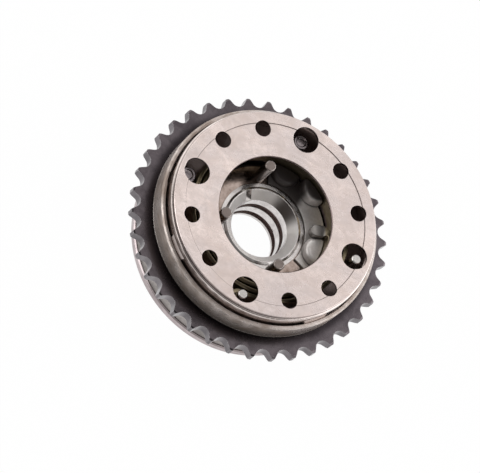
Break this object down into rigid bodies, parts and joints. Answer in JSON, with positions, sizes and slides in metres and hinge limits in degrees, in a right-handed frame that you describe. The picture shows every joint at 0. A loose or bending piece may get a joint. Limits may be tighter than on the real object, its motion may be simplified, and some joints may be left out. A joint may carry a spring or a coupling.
{
  "type": "cam phaser",
  "caption": "Vane-type cam phaser with a chain sprocket, spring drum, perforated front plate and a grooved hub bore; the rotor turns against a spiral bias spring.",
  "frame": {"origin": "on the axis, at the rear face of the rear cover, which the part lies on", "axes": "+Z along the axis towards the front plate; the four large holes lie on +X, +Y, -X and -Y"},
  "size_m": [0.1164, 0.1166, 0.0412],
  "materials": {
    "plate_steel": "smooth, cloudy, lightly stained",
    "drum_steel": "fine turned",
    "cover_steel": "ground",
    "sprocket_steel": "dark oxide, flanks worn bright",
    "sintered_steel": "sintered, matt",
    "rotor_steel": "machined, oil stained",
    "bright_steel": "ground bright",
    "screw_steel": "dull",
    "spring_steel": "blued and oiled",
    "seal_plastic": "moulded"
  },
  "bodies": {
    "stator": {"rear_cover": "cover_steel", "stator_ring": "sintered_steel", "sprocket": "sprocket_steel", "spring_drum": "drum_steel", "cover_shell": "plate_steel", "front_plate": "plate_steel", "post_screws": "bright_steel", "clamp_screws": "screw_steel", "bias_spring": "spring_steel", "lock_bush": "bright_steel", "lobe_seal_1": "seal_plastic", "lobe_seal_2": "seal_plastic", "lobe_seal_3": "seal_plastic", "lobe_seal_4": "seal_plastic", "lobe_seal_spring_1": "spring_steel", "lobe_seal_spring_2": "spring_steel", "lobe_seal_spring_3": "spring_steel", "lobe_seal_spring_4": "spring_steel"},
    "rotor": {"vane_rotor": "rotor_steel", "hub_sleeve": "bright_steel", "spring_anchor": "sintered_steel", "lock_cap": "screw_steel", "lock_spring": "spring_steel", "spring_pin_1": "screw_steel", "spring_pin_2": "screw_steel", "spring_pin_3": "screw_steel", "vane_seal_1": "seal_plastic", "vane_seal_2": "seal_plastic", "vane_seal_3": "seal_plastic", "vane_seal_4": "seal_plastic", "vane_seal_spring_1": "spring_steel", "vane_seal_spring_2": "spring_steel", "vane_seal_spring_3": "spring_steel", "vane_seal_spring_4": "spring_steel"},
    "lock_pin": {"lock_pin": "bright_steel"}
  },
  "joints": [
    {"name": "phase", "type": "hinge", "parent": "stator", "child": "rotor", "pos_m": [0, 0, 0], "axis": [0, 0, 1], "range_deg": [0, 30], "stiffness_Nm_per_rad": 0.8, "springref_deg": -57.3, "deforming": ["bias_spring"]},
    {"name": "lock_pin_slide", "type": "slide", "parent": "rotor", "child": "lock_pin", "axis": [0, 0, 1], "range_m": [0, 0.003], "stiffness_N_per_m": 800, "springref_m": -0.003, "deforming": ["lock_spring"]}
  ]
}
